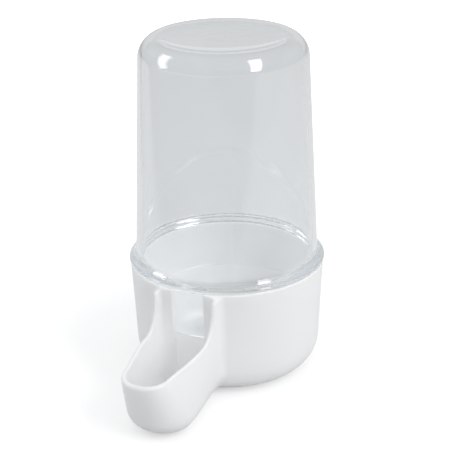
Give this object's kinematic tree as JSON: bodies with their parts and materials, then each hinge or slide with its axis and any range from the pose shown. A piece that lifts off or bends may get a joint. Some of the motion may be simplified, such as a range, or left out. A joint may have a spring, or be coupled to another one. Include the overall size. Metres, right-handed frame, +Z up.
{
  "type": "bird water drinker",
  "caption": "Clear round reservoir that plugs mouth down into a white base whose scoop-shaped spout holds the drinking water.",
  "frame": {"origin": "middle of the base's flat underside, on the reservoir's axis", "axes": "+Z up along the reservoir's axis; the spout points along -Y; X runs across the spout"},
  "size_m": [0.06, 0.0924, 0.1044],
  "materials": {
    "white_plastic": "satin moulded white polypropylene",
    "clear_plastic": "clear glossy moulded polystyrene"
  },
  "bodies": {
    "base": {"base": "white_plastic"},
    "reservoir": {"reservoir": "clear_plastic"}
  },
  "joints": [
    {"name": "reservoir_lift", "type": "slide", "parent": "base", "child": "reservoir", "axis": [0, 0, 1], "range_m": [0, 0.025]}
  ]
}
